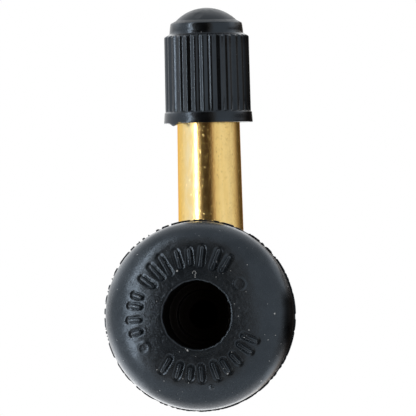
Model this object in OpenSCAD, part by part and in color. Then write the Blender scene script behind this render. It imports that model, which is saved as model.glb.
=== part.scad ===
// Snap-in tyre valve with a bent brass stem, a rubber foot, a valve core and a screw-on dust cap.
// The origin is the centre of the rim hole, on the plane where the foot seats against the rim.
// +Y points out of the tyre through the rim hole, and +Z points along the stem towards the cap.

/* [Foot] */
// Diameter of the rubber foot at its widest, without the moulding lip
foot_d = 21.8; // [19.6:0.1:23]
// Height of the domed front of the foot above its seat
foot_h = 5; // [4:0.1:6.5]
// Power of the curve of the domed front: 2 is an ellipse, and more gives a fuller edge
dome_power = 2.4; // [2:0.1:3]
// How far the thin moulding lip stands out from the foot
lip_out = 0.25; // [0.1:0.05:0.5]
// Thickness of the moulding lip
lip_t = 0.4; // [0.2:0.05:0.8]
// Diameter of the air inlet
inlet_d = 7.9; // [6.8:0.1:8.6]
// Radius of the rounded mouth of the air inlet
inlet_edge_r = 0.4; // [0.2:0.05:0.7]
// Diameter of the throat behind the air inlet
throat_d = 5.9; // [4.6:0.1:6.4]
// Length of the throat
throat_len = 0.9; // [0.5:0.1:1.4]
// Rubber over the end of the brass stem, around the air passage
throat_floor = 0.5; // [0.3:0.1:0.8]

/* [Rim seat] */
// Diameter of the hole in the rim
rim_hole_d = 11.5; // [11.3:0.1:11.8]
// How much wider than the rim hole the rubber neck is
neck_squeeze = 0.6; // [0.2:0.1:1]
// Width of the groove that takes the edge of the rim hole
groove_w = 3.6; // [2.6:0.1:4.4]
// Diameter of the shoulder that snaps through the rim hole
shoulder_d = 15.2; // [14.2:0.1:16.5]
// Length of the straight land on the shoulder
shoulder_land = 1.2; // [0.6:0.1:1.6]
// Rubber wall at the thin end of the cone behind the shoulder
nose_wall = 1.3; // [0.9:0.1:1.8]
// Size of the rounding on the edges of the shoulder and the cone
shoulder_round = 0.5; // [0.2:0.05:0.55]
// Size of the rounding in the corners of the groove
groove_round = 0.4; // [0.1:0.05:0.6]

/* [Stem] */
// Distance from the rim seat to the axis of the upright stem
stem_offset = 15; // [14:0.1:18]
// Diameter of the stem at the bend
stem_d = 7.8; // [7.2:0.05:8.3]
// How much narrower the stem is at the foot of its thread
stem_taper = 0.4; // [0:0.05:0.5]
// Radius of the bend, to the centre line
bend_r = 5.5; // [4.6:0.1:6.2]
// Height of the mouth of the stem above the centre of the foot
stem_h = 32.8; // [30:0.1:45]
// How far the anchor flange inside the rubber stands out from the stem
anchor_out = 0.85; // [0.5:0.05:1.2]
// Thickness of the anchor flange
anchor_t = 1.2; // [0.8:0.1:1.8]
// Rubber between the groove for the rim and the anchor flange
anchor_inset = 0.6; // [0.4:0.1:1]
// Diameter of the air passage
passage_d = 3.4; // [2.6:0.1:3.8]

/* [Stem thread] */
// Outer diameter of the thread for the cap
thread_d = 7.7; // [7.6:0.05:7.9]
// Length of the threaded stretch, with the pilot above it
thread_len = 9.5; // [8:0.1:10]
// Diameter of the plain pilot at the mouth
pilot_d = 6.9; // [6.6:0.05:7]
// Length of the plain pilot
pilot_len = 1; // [0.7:0.1:1.5]
// Chamfer at both ends of the thread and at the mouth
thread_chamfer = 0.3; // [0.1:0.05:0.35]

/* [Core chamber] */
// Diameter of the plain mouth above the core thread
mouth_d = 5.5; // [5.3:0.05:5.8]
// Depth of the plain mouth
mouth_depth = 0.7; // [0.4:0.1:0.9]
// Diameter of the thread that holds the core
core_thread_d = 5.2; // [5:0.05:5.25]
// Depth at which the tapered seat begins
seat_depth = 7.5; // [7:0.1:8.2]
// Length of the tapered seat
seat_len = 2.5; // [2:0.1:3]
// Diameter of the chamber below the seat
chamber_d = 4.2; // [4.1:0.05:4.5]
// Room in the chamber below the core
chamber_room = 2.5; // [1.8:0.1:4]
// Length of the cone between the chamber and the air passage
chamber_cone = 0.6; // [0.3:0.1:1]

/* [Cap] */
// Overall height of the cap
cap_h = 13.65; // [12.5:0.05:15]
// Radial clearance between the cap and the stem thread
cap_clear = 0.08; // [0.04:0.01:0.1]
// Wall of the cap below the grooves
cap_wall = 0.95; // [0.5:0.05:1.1]
// Number of grip grooves
groove_count = 30; // [24:1:34]
// Depth of the grip grooves
groove_depth = 0.2; // [0.1:0.05:0.45]
// Width of the grip grooves at the surface
groove_width = 0.86; // [0.4:0.02:0.9]
// How far the bottom flange stands out from the ribs
cap_flange_out = 0.19; // [0.1:0.01:0.4]
// Share of that which the flange loses towards its top
flange_lean = 0.5; // [0:0.05:0.8]
// Height of the bottom flange
cap_flange_h = 1.3; // [0.9:0.05:1.8]
// Length of the sloped top of the ribs
rib_slope = 0.35; // [0.3:0.05:0.8]
// How much narrower than the ribs the neck is, at its foot, on the radius
neck_step = 0.7; // [0.55:0.01:0.8]
// Height of the neck
neck_h = 1.25; // [0.9:0.05:1.6]
// How much the neck narrows upwards, on the radius
neck_draft = 0.1; // [0:0.01:0.15]
// Width of the chamfer between the neck and the dome
crown_chamfer = 0.7; // [0.4:0.02:0.8]
// Height of that chamfer
crown_chamfer_h = 0.35; // [0.2:0.05:0.5]
// Height of the dome
dome_h = 1.5; // [1:0.05:2.2]
// Length of the tapered lead-in at the mouth of the cap
lead_len = 0.6; // [0.3:0.05:0.8]
// How much wider than the bore the mouth of the cap is, on the radius
lead_out = 0.25; // [0.1:0.05:0.35]
// Wall beside the sealing washer
seal_wall = 0.55; // [0.45:0.05:0.65]
// Clearance around the sealing washer
seal_clear = 0.05; // [0.03:0.01:0.08]
// Thickness of the sealing washer
seal_t = 1; // [0.7:0.05:1.3]
// How far the pocket of the sealing washer reaches below the mouth of the stem
seal_grip = 0.4; // [0.2:0.05:0.6]
// Wall between the pocket and the chamfer of the crown
crown_wall = 0.5; // [0.4:0.05:0.8]

/* [Valve core] */
// Depth of the top of the core plug below the mouth of the stem
core_depth = 0.8; // [0.6:0.1:1.2]
// Length of the two ears on the core plug
ear_len = 2.2; // [1.6:0.1:2.6]
// Diameter across the ears
ear_d = 4.4; // [4:0.1:4.6]
// Width of the ears
ear_w = 1.7; // [1.2:0.1:2]
// Bore between the ears
ear_bore_d = 2.3; // [2.1:0.05:2.5]
// Length of the threaded stretch of the core plug
plug_len = 4; // [3.6:0.1:4.4]
// Bore of the core plug around the pin
plug_bore_d = 1.5; // [1.3:0.05:1.8]
// Length of that narrow bore
plug_guide_len = 1.2; // [0.8:0.1:1.6]
// Bore for the spring in the core plug and the barrel
spring_bore_d = 2.7; // [2.6:0.05:2.9]
// Outer diameter of the barrel
barrel_d = 3.9; // [3.7:0.05:3.95]
// Length of the barrel
barrel_len = 6.1; // [5.6:0.1:7]
// Thickness of the barrel's lower wall
barrel_wall = 1.3; // [1:0.1:1.6]
// Air bore in the barrel's lower wall
barrel_air_d = 1.7; // [1.5:0.05:1.9]
// Diameter of the barrel's sealing lip
barrel_lip_d = 2.8; // [2.6:0.05:2.9]
// Height of the cone above the sealing lip
barrel_cone = 0.5; // [0.3:0.1:0.8]
// Bare seat above and below the gasket
gasket_margin = 0.2; // [0.1:0.05:0.4]
// Diameter of the pin
pin_d = 1.1; // [1:0.05:1.2]
// Diameter of the head of the pin
pin_head_d = 1.9; // [1.7:0.05:2]
// Height of the head of the pin
pin_head_h = 0.6; // [0.4:0.05:0.8]
// Depth of the top of the pin below the mouth of the stem
pin_depth = 0.2; // [0.1:0.05:0.4]
// Diameter of the collar on the pin that the spring pushes
collar_d = 2.4; // [2.3:0.05:2.5]
// Thickness of the collar
collar_t = 0.4; // [0.3:0.05:0.6]
// Clearance between the collar and the core plug above it
collar_clear = 0.1; // [0.05:0.05:0.2]
// Outer diameter of the spring
spring_d = 2.3; // [2.1:0.05:2.4]
// Diameter of the spring wire
wire_d = 0.3; // [0.24:0.02:0.36]
// Number of open coils of the spring
spring_coils = 6; // [4:1:8]
// Outer diameter of the cup under the washer
cup_d = 3.5; // [3.3:0.05:3.6]
// Wall of the cup around the washer
cup_wall = 0.25; // [0.2:0.05:0.3]
// Thickness of the bottom of the cup
cup_floor = 0.7; // [0.5:0.05:1]
// Thickness of the rubber washer
washer_t = 1; // [0.8:0.05:1.3]
// How far the washer stands above the rim of the cup
washer_proud = 0.1; // [0.05:0.05:0.2]
// Height of the swaged end of the pin
swage_h = 0.4; // [0.3:0.05:0.6]
// Diameter of the swaged end of the pin
swage_d = 1.6; // [1.5:0.05:1.9]

/* [Hidden] */
$fn = 96;
// Steps along the curve of the foot's dome and along the inlet's rounded mouth
dome_steps = 28;
edge_steps = 6;
// Steps along a rounded corner of the rubber
round_steps = 4;
// Reach of a cut beyond the face that it opens
past = 1;
// Sides of the spring wire and steps in one coil
wire_sides = 6;
coil_steps = 16;
// Pitch of the closed end coils, in wire diameters
end_pitch = 1.1;

foot_r = foot_d / 2;
lip_r = foot_r + lip_out;
inlet_r = inlet_d / 2;
throat_r = throat_d / 2;
neck_r = (rim_hole_d + neck_squeeze) / 2;
shoulder_r = shoulder_d / 2;
stem_r = stem_d / 2;
stem_top_r = stem_r - stem_taper / 2;
nose_r = stem_r + nose_wall;
anchor_r = stem_r + anchor_out;
passage_r = passage_d / 2;

// Stations along the axis of the foot, from the seat towards the stem
anchor_y = groove_w + anchor_inset;
floor_y = anchor_y - throat_floor;
throat_y = floor_y - throat_len;
land_y = groove_w + shoulder_land;
bend_y = stem_offset - bend_r;

// Heights along the stem
thread_z = stem_h - thread_len;
pilot_z = stem_h - pilot_len;
seat_top_z = stem_h - seat_depth;
seat_z = seat_top_z - seat_len;
thread_r = thread_d / 2;
pilot_r = pilot_d / 2;
core_thread_r = core_thread_d / 2;
chamber_r = chamber_d / 2;

// Heights of the core
ear_top_z = stem_h - core_depth;
ear_z = ear_top_z - ear_len;
plug_z = ear_z - plug_len;
barrel_z = plug_z - barrel_len;
barrel_floor_z = barrel_z + barrel_wall;
washer_z = barrel_z - washer_t;
cup_z = washer_z - cup_floor;
chamber_z = cup_z - chamber_room;
collar_top_z = ear_z - plug_guide_len - collar_clear;
collar_z = collar_top_z - collar_t;
pin_top_z = stem_h - pin_depth;

// Sections of the cap, from its mouth upwards
bore_r = thread_r + cap_clear;
rib_r = bore_r + cap_wall + groove_depth;
cap_flange_r = rib_r + cap_flange_out;
cap_flange_top_r = cap_flange_r - cap_flange_out * flange_lean;
neck_foot_r = rib_r - neck_step;
neck_top_r = neck_foot_r - neck_draft;
dome_foot_r = neck_top_r - crown_chamfer;
dome_z = cap_h - dome_h;
chamfer_z = dome_z - crown_chamfer_h;
neck_z = chamfer_z - neck_h;
rib_top_z = neck_z - rib_slope;
pocket_top_z = chamfer_z - crown_wall;
pocket_z = pocket_top_z - seal_t - seal_grip;
pocket_r = neck_top_r - seal_wall;
seal_r = pocket_r - seal_clear;
dome_r = (dome_foot_r * dome_foot_r + dome_h * dome_h) / (2 * dome_h);
groove_r = (groove_width * groove_width / 4 + groove_depth * groove_depth) / (2 * groove_depth);
// The cap closes on the washer, and the washer on the mouth of the stem
cap_z = stem_h + seal_t - pocket_top_z;

// A corner b between a and c, rounded from a distance before it to the same distance after it
function rounded(a, b, c, size) =
    let (
        from = b + size * (a - b) / norm(a - b),
        to = b + size * (c - b) / norm(c - b)
    )
    [
        for (i = [0 : round_steps])
            let (t = i / round_steps)
            (1 - t) * (1 - t) * from + 2 * t * (1 - t) * b + t * t * to
    ];

// Corners of the groove, the shoulder and the cone, as radius and station
seat_edge = [lip_r, 0];
neck_front = [neck_r, 0];
neck_back = [neck_r, groove_w];
shoulder_front = [shoulder_r, groove_w];
shoulder_back = [shoulder_r, land_y];
nose_edge = [nose_r, bend_y];
nose_inner = [stem_r, bend_y];

// Axial place of the foot's domed front at a radius
function dome_y(r) =
    let (share = 1 - pow(r / foot_r, dome_power))
    -lip_t - (foot_h - lip_t) * pow(share, 1 / dome_power);

// Outline of the domed front, from the inlet's rounded mouth to the moulding lip
mouth_r = inlet_r + inlet_edge_r;
mouth_y = dome_y(mouth_r);
dome_from = asin(pow(mouth_r / foot_r, dome_power / 2));
inlet_edge = [
    for (i = [0 : edge_steps])
        let (t = 90 * i / edge_steps)
        [mouth_r - inlet_edge_r * cos(t), mouth_y + inlet_edge_r * (1 - sin(t))]
];
foot_front = [
    for (i = [1 : dome_steps])
        let (
            t = dome_from + (90 - dome_from) * i / dome_steps,
            across = pow(sin(t), 2 / dome_power),
            rise = pow(cos(t), 2 / dome_power)
        )
        [foot_r * across, -lip_t - (foot_h - lip_t) * rise]
];

// Turns a profile of radius and station about the axis of the foot
module about_foot() {
    rotate([-90, 0, 0])
        rotate_extrude()
        children();
}

// Turns a profile of radius and height about the axis of the stem
module about_stem() {
    translate([0, stem_offset, 0])
        rotate_extrude()
        children();
}

// A quarter bend of a round bar between the leg and the upright
module quarter_bend(r) {
    translate([0, bend_y, bend_r])
        rotate([0, 90, 0])
        rotate_extrude(angle = 90)
        translate([bend_r, 0])
        circle(r = r);
}

// A round bar along the axis of the foot between two stations
module leg_bar(r, from_y, to_y) {
    translate([0, from_y, 0])
        rotate([-90, 0, 0])
        cylinder(r = r, h = to_y - from_y);
}

// Rubber foot: domed flange, groove for the rim, snap-in shoulder and cone, moulded onto the stem
module rubber_base() {
    color("#2f353b")
        about_foot()
        polygon(concat(
            [[passage_r, anchor_y], [passage_r, floor_y], [throat_r, floor_y]],
            [[throat_r, throat_y], [inlet_r, throat_y]],
            inlet_edge,
            foot_front,
            [
                [lip_r, -lip_t],
                seat_edge
            ],
            rounded(seat_edge, neck_front, neck_back, groove_round),
            rounded(neck_front, neck_back, shoulder_front, groove_round),
            rounded(neck_back, shoulder_front, shoulder_back, shoulder_round),
            rounded(shoulder_front, shoulder_back, nose_edge, shoulder_round),
            rounded(shoulder_back, nose_edge, nose_inner, shoulder_round),
            [
                nose_inner,
                [stem_r, anchor_y + anchor_t],
                [anchor_r, anchor_y + anchor_t],
                [anchor_r, anchor_y]
            ]
        ));
}

// Outside of the upright stem: slim cone, threaded stretch and pilot
module upright() {
    about_stem()
        polygon([
            [0, bend_r],
            [stem_r, bend_r],
            [stem_top_r, thread_z],
            [thread_r, thread_z + thread_chamfer],
            [thread_r, pilot_z - thread_chamfer],
            [pilot_r, pilot_z],
            [pilot_r, stem_h - thread_chamfer],
            [pilot_r - thread_chamfer, stem_h],
            [0, stem_h]
        ]);
}

// Inside of the upright stem: mouth, core thread, tapered seat, chamber and passage
module upright_bore() {
    about_stem()
        polygon([
            [0, bend_r],
            [passage_r, bend_r],
            [passage_r, chamber_z - chamber_cone],
            [chamber_r, chamber_z],
            [chamber_r, seat_z],
            [core_thread_r, seat_top_z],
            [core_thread_r, stem_h - mouth_depth - (mouth_d / 2 - core_thread_r)],
            [mouth_d / 2, stem_h - mouth_depth],
            [mouth_d / 2, stem_h + past],
            [0, stem_h + past]
        ]);
}

// Bent brass stem with the anchor flange that the rubber grips
module stem() {
    color("#d8b56a")
        difference() {
            union() {
                leg_bar(anchor_r, anchor_y, anchor_y + anchor_t);
                leg_bar(stem_r, anchor_y, bend_y);
                quarter_bend(stem_r);
                upright();
            }
            leg_bar(passage_r, anchor_y - past, bend_y);
            quarter_bend(passage_r);
            upright_bore();
        }
}

// Outside of the cap without its grooves
module cap_form() {
    rotate_extrude()
        polygon([
            [0, 0],
            [cap_flange_r, 0],
            [cap_flange_top_r, cap_flange_h],
            [rib_r, cap_flange_h],
            [rib_r, rib_top_z],
            [neck_foot_r, neck_z],
            [neck_top_r, chamfer_z],
            [dome_foot_r, dome_z],
            [0, dome_z]
        ]);
    intersection() {
        translate([0, 0, cap_h - dome_r])
            sphere(r = dome_r);
        translate([0, 0, dome_z])
            cylinder(r = dome_foot_r, h = dome_h);
    }
}

// One grip groove along the side of the cap
module cap_groove() {
    translate([rib_r - groove_depth + groove_r, 0, cap_flange_h])
        cylinder(r = groove_r, h = neck_z - cap_flange_h);
}

// Inside of the cap: lead-in, bore over the stem thread and pocket of the washer
module cap_hollow() {
    rotate_extrude()
        polygon([
            [0, -past],
            [bore_r + lead_out, -past],
            [bore_r + lead_out, 0],
            [bore_r, lead_len],
            [bore_r, pocket_z],
            [pocket_r, pocket_z],
            [pocket_r, pocket_top_z],
            [0, pocket_top_z]
        ]);
}

// Domed dust cap with grip grooves
module cap() {
    color("#3a4047")
        translate([0, stem_offset, cap_z])
        difference() {
            cap_form();
            cap_hollow();
            for (i = [0 : groove_count - 1])
                rotate([0, 0, 360 * i / groove_count])
                    cap_groove();
        }
}

// Sealing washer between the mouth of the stem and the crown of the cap
module cap_seal() {
    color("#23272c")
        translate([0, stem_offset, stem_h])
        cylinder(r = seal_r, h = seal_t);
}

// Core plug: threaded stretch with two ears for the core tool
module core_plug() {
    color("#c9a659")
        translate([0, stem_offset, 0])
        difference() {
            union() {
                translate([0, 0, plug_z])
                    cylinder(r = core_thread_r, h = plug_len);
                intersection() {
                    translate([0, 0, ear_z])
                        cylinder(d = ear_d, h = ear_len);
                    translate([-ear_d / 2, -ear_w / 2, ear_z])
                        cube([ear_d, ear_w, ear_len]);
                }
            }
            translate([0, 0, ear_z])
                cylinder(d = ear_bore_d, h = ear_len + past);
            translate([0, 0, ear_z - plug_guide_len - past])
                cylinder(d = plug_bore_d, h = plug_guide_len + 2 * past);
            translate([0, 0, plug_z - past])
                cylinder(d = spring_bore_d, h = plug_len - plug_guide_len + past);
        }
}

// Core barrel with the spring's seat and the sealing lip
module core_barrel() {
    color("#c9a659")
        about_stem()
        polygon([
            [barrel_air_d / 2, barrel_z],
            [barrel_lip_d / 2, barrel_z],
            [barrel_d / 2, barrel_z + barrel_cone],
            [barrel_d / 2, plug_z],
            [spring_bore_d / 2, plug_z],
            [spring_bore_d / 2, barrel_floor_z],
            [barrel_air_d / 2, barrel_floor_z]
        ]);
}

// Radius of the tapered seat at a height
function seat_radius(z) = chamber_r + (core_thread_r - chamber_r) * (z - seat_z) / seat_len;

// Gasket between the barrel and the tapered seat
module core_gasket() {
    low = seat_z + gasket_margin;
    high = seat_top_z - gasket_margin;
    color("#b8442f")
        about_stem()
        polygon([
            [barrel_d / 2, low],
            [seat_radius(low), low],
            [seat_radius(high), high],
            [barrel_d / 2, high]
        ]);
}

// Core pin with its head, the spring's collar and the swaged end that holds the cup
module core_pin() {
    color("#d2b168")
        about_stem()
        polygon([
            [0, cup_z - swage_h],
            [swage_d / 2, cup_z - swage_h],
            [swage_d / 2, cup_z],
            [pin_d / 2, cup_z],
            [pin_d / 2, collar_z],
            [collar_d / 2, collar_z],
            [collar_d / 2, collar_top_z],
            [pin_d / 2, collar_top_z],
            [pin_d / 2, pin_top_z - pin_head_h],
            [pin_head_d / 2, pin_top_z - pin_head_h],
            [pin_head_d / 2, pin_top_z],
            [0, pin_top_z]
        ]);
}

// Height of the spring's wire above its seat after a number of coils
spring_low = barrel_floor_z + wire_d / 2;
spring_high = collar_z - wire_d / 2;
spring_turns = spring_coils + 2;
end_rise = end_pitch * wire_d;
open_rise = (spring_high - spring_low - 2 * end_rise) / spring_coils;
function spring_z(t) =
    t < 1 ? spring_low + end_rise * t
    : t > spring_turns - 1 ? spring_high - end_rise * (spring_turns - t)
    : spring_low + end_rise + open_rise * (t - 1);

// Coil spring swept along its own helix
module core_spring() {
    coil_r = (spring_d - wire_d) / 2;
    rings = spring_turns * coil_steps;
    points = [
        for (i = [0 : rings])
            let (t = i / coil_steps)
            for (k = [0 : wire_sides - 1])
                let (
                    w = 360 * (k + 0.5) / wire_sides,
                    r = coil_r + wire_d / 2 * sin(w)
                )
                [r * cos(360 * t), r * sin(360 * t), spring_z(t) + wire_d / 2 * cos(w)]
    ];
    sides = [
        for (i = [0 : rings - 1])
            for (k = [0 : wire_sides - 1])
                let (
                    a = i * wire_sides + k,
                    b = i * wire_sides + (k + 1) % wire_sides
                )
                [a, b, b + wire_sides, a + wire_sides]
    ];
    first = [for (k = [wire_sides - 1 : -1 : 0]) k];
    last = [for (k = [0 : wire_sides - 1]) rings * wire_sides + k];
    color("#b9bcc0")
        translate([0, stem_offset, 0])
        polyhedron(points = points, faces = concat([first], sides, [last]), convexity = 10);
}

// Cup that carries the rubber washer
module core_cup() {
    color("#c9a659")
        about_stem()
        polygon([
            [pin_d / 2, cup_z],
            [cup_d / 2, cup_z],
            [cup_d / 2, barrel_z - washer_proud],
            [cup_d / 2 - cup_wall, barrel_z - washer_proud],
            [cup_d / 2 - cup_wall, washer_z],
            [pin_d / 2, washer_z]
        ]);
}

// Rubber washer that closes the barrel
module core_washer() {
    color("#26292d")
        about_stem()
        polygon([
            [pin_d / 2, washer_z],
            [cup_d / 2 - cup_wall, washer_z],
            [cup_d / 2 - cup_wall, barrel_z],
            [pin_d / 2, barrel_z]
        ]);
}

rubber_base();
stem();
cap();
cap_seal();
core_plug();
core_barrel();
core_gasket();
core_pin();
core_spring();
core_cup();
core_washer();
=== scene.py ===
"""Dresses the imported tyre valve: rubber foot, bent brass stem, ribbed dust cap and valve core."""
import math

import bmesh
import bpy
import numpy as np
from mathutils import Matrix, Vector, noise


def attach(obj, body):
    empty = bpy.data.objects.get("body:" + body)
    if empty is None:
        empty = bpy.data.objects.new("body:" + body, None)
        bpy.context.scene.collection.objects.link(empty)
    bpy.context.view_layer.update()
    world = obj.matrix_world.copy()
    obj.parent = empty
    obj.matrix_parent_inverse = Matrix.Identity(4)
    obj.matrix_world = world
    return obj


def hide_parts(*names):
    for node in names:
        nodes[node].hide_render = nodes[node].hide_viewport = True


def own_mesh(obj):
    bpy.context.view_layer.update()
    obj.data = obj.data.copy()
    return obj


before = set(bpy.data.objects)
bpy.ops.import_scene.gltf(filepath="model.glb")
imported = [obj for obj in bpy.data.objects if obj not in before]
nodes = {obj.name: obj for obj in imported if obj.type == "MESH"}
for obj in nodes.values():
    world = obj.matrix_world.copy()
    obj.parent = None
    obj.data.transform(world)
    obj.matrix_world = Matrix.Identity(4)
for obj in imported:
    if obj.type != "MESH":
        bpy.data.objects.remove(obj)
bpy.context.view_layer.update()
scene = bpy.context.scene
scene.view_settings.view_transform = "Standard"

MM = 0.001
TURN = 2 * math.pi

# Sizes of the foot in millimetres, the same as the solids but for its edge, which is fuller by 0.05
FOOT_R = 10.95
FOOT_H = 5.0
DOME_POWER = 2.4
LIP_R = 11.145
LIP_T = 0.4
INLET_R = 3.95
RIM_EDGE = 0.24
PASSAGE_R = 1.7
THROAT_R = 2.95
THROAT_Y = 2.8
FLOOR_Y = 3.7
ANCHOR_Y = 4.2
ANCHOR_T = 1.2
ANCHOR_R = 4.75
NECK_R = 6.05
GROOVE_W = 3.6
SHOULDER_R = 7.6
LAND_Y = 4.8
NOSE_R = 5.2

# Sizes of the stem in millimetres, the same as the solids
STEM_R = 3.9
STEM_TOP_R = 3.7
STEM_Y = 15.0
BEND_R = 5.5
BEND_Y = STEM_Y - BEND_R
STEM_H = 32.8
THREAD_Z = 23.3
THREAD_R = 3.85
THREAD_DEPTH = 0.38
PITCH = 0.79375
PILOT_Z = 31.8
PILOT_R = 3.45
CHAMFER = 0.3
MOUTH_R = 2.75
MOUTH_DEPTH = 0.7
CORE_R = 2.6
SEAT_Z = 25.3
CHAMBER_R = 2.1
CHAMBER_TOP_Z = 22.8
CHAMBER_Z = 15.5
CHAMBER_CONE = 0.6

# Sizes of the cap in millimetres, heights from its lower edge
CAP_Z = 22.5
CAP_H = 13.65
RIB_COUNT = 30
RIB_R = 5.065
GROOVE_DEPTH = 0.172
GROOVE_TURN = 0.5
FLANGE_R = 5.265
FLANGE_H = 1.3
RIB_TOP_Z = 10.2
CAP_NECK_Z = 10.55
CAP_NECK_R = 4.38
CAP_NECK_TOP_R = 4.25
CROWN_Z = 11.8
DOME_Z = 12.15
DOME_FOOT_R = 3.58
CAP_BORE_R = 3.93
CAP_LEAD = 0.25
POCKET_Z = 9.9
POCKET_TOP_Z = 11.3
POCKET_R = 3.73


# Mesh helpers
def smoothstep(low, high, x):
    """0 at low, 1 at high and a smooth rise between; low may be the larger."""
    t = np.clip((np.asarray(x, float) - low) / (high - low), 0.0, 1.0)
    return t * t * (3.0 - 2.0 * t)


def densify(points, step):
    """Adds points along a polyline so that no stretch is longer than step."""
    out = [points[0]]
    for a, b in zip(points[:-1], points[1:]):
        a, b = np.array(a, float), np.array(b, float)
        count = max(1, int(math.ceil(np.linalg.norm(b - a) / step)))
        out += [tuple(a + (b - a) * k / count) for k in range(1, count + 1)]
    return out


def rounded(a, b, c, size, steps=5):
    """Points of a rounded corner at b between a and c."""
    a, b, c = (np.array(p, float) for p in (a, b, c))
    start = b + size * (a - b) / np.linalg.norm(a - b)
    end = b + size * (c - b) / np.linalg.norm(c - b)
    ts = np.linspace(0, 1, steps + 1)
    return [tuple((1 - t) ** 2 * start + 2 * t * (1 - t) * b + t * t * end) for t in ts]


def noise_at(points, scale, seed):
    """Smooth noise from about -1 to 1 at points in millimetres."""
    shift = Vector((seed * 17.3, seed * 5.9, seed * 11.1))
    return np.array([noise.noise(Vector(p) * scale + shift) for p in points])


def circle_points(theta, radius):
    return np.stack([np.cos(theta) * radius, np.sin(theta) * radius, np.zeros_like(theta)], axis=1)


def from_angle(theta, degrees):
    """Angle in degrees from a direction, between -180 and 180."""
    return (np.degrees(theta) - degrees + 180) % 360 - 180


def hump(theta, degrees, width):
    """1 at a direction, falling to about a third at a width of so many degrees."""
    return np.exp(-((from_angle(theta, degrees) / width) ** 2))


def ring_faces(count, n, closed):
    """Quads between each ring of n points and the next, and from the last to the first."""
    k = np.arange(n)
    after = (k + 1) % n
    faces = []
    for i in range(count if closed else count - 1):
        j = (i + 1) % count
        faces.append(np.stack([i * n + k, i * n + after, j * n + after, j * n + k], axis=1))
    return np.concatenate(faces).tolist()


def add_mesh(name, points_mm, faces, sharp):
    """A smooth-shaded object with outward faces and sharp edges past an angle in degrees."""
    mesh = bpy.data.meshes.new(name)
    mesh.from_pydata((np.asarray(points_mm, float) * MM).tolist(), [], faces)
    bm = bmesh.new()
    bm.from_mesh(mesh)
    bmesh.ops.recalc_face_normals(bm, faces=bm.faces)
    limit = math.radians(sharp)
    for face in bm.faces:
        face.smooth = True
    for edge in bm.edges:
        if len(edge.link_faces) == 2 and edge.calc_face_angle(0.0) > limit:
            edge.smooth = False
    bm.to_mesh(mesh)
    bm.free()
    piece = bpy.data.objects.new(name, mesh)
    scene.collection.objects.link(piece)
    return piece


def ring_mesh(name, rings, sharp):
    """A closed mesh from rings that run round and back to the first."""
    rings = np.asarray(rings, float)
    count, n, _ = rings.shape
    return add_mesh(name, rings.reshape(-1, 3), ring_faces(count, n, True), sharp)


def capped_faces(count, n, base=0):
    """Faces of rings in a row with a face on each end, for points numbered from base."""
    faces = ring_faces(count, n, False)
    faces.append(list(range(n)))
    faces.append(list(range((count - 1) * n, count * n)))
    return [[base + i for i in face] for face in faces]


def capped_mesh(name, rings, sharp):
    """A closed mesh from rings in a row, with a face on each end."""
    rings = np.asarray(rings, float)
    count, n, _ = rings.shape
    return add_mesh(name, rings.reshape(-1, 3), capped_faces(count, n), sharp)


# Materials

# Specks: solid share of a dot, how much finer the noise is that picks the dots, and its soft edge
DOT_CORE = 0.5
PICK_SCALE = 1.7
PICK_EDGE = 0.04


class Nodes:
    """A node tree, with short calls to add and join nodes."""

    def __init__(self, tree):
        self.tree = tree
        self.tree.nodes.clear()

    def add(self, kind, **props):
        node = self.tree.nodes.new(kind)
        for key, value in props.items():
            setattr(node, key, value)
        return node

    def put(self, socket, value):
        """Joins a socket, or sets a constant."""
        if isinstance(value, bpy.types.NodeSocket):
            self.tree.links.new(value, socket)
        elif isinstance(value, tuple):
            socket.default_value = (*value, 1.0)
        else:
            socket.default_value = value

    def ramp(self, value, low, high, a=0.0, b=1.0):
        """Maps low..high to a..b, smoothly and clamped; low may be the larger."""
        node = self.add("ShaderNodeMapRange", interpolation_type="SMOOTHSTEP")
        self.put(node.inputs["Value"], value)
        self.put(node.inputs["From Min"], low)
        self.put(node.inputs["From Max"], high)
        self.put(node.inputs["To Min"], a)
        self.put(node.inputs["To Max"], b)
        return node.outputs["Result"]

    def math(self, op, a, b=0.0):
        node = self.add("ShaderNodeMath", operation=op)
        self.put(node.inputs[0], a)
        self.put(node.inputs[1], b)
        return node.outputs[0]

    def times(self, a, b):
        return self.math("MULTIPLY", a, b)

    def plus(self, a, b):
        return self.math("ADD", a, b)

    def minus(self, a, b):
        return self.math("SUBTRACT", a, b)

    def most(self, a, b):
        return self.math("MAXIMUM", a, b)

    def vector(self, op, value):
        node = self.add("ShaderNodeVectorMath", operation=op)
        self.put(node.inputs[0], value)
        return node

    def split(self, value):
        """A vector's x, y and z."""
        node = self.add("ShaderNodeSeparateXYZ")
        self.put(node.inputs[0], value)
        return node.outputs["X"], node.outputs["Y"], node.outputs["Z"]

    def mix(self, factor, a, b):
        """Mixes two colours."""
        node = self.add("ShaderNodeMix", data_type="RGBA")
        self.put(node.inputs["Factor"], factor)
        ends = [s for s in node.inputs if s.type == "RGBA"]
        self.put(ends[0], a)
        self.put(ends[1], b)
        return next(s for s in node.outputs if s.type == "RGBA")

    def mix_shaders(self, factor, a, b):
        node = self.add("ShaderNodeMixShader")
        for socket, value in zip(node.inputs, (factor, a, b)):
            self.put(socket, value)
        return node.outputs[0]


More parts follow.
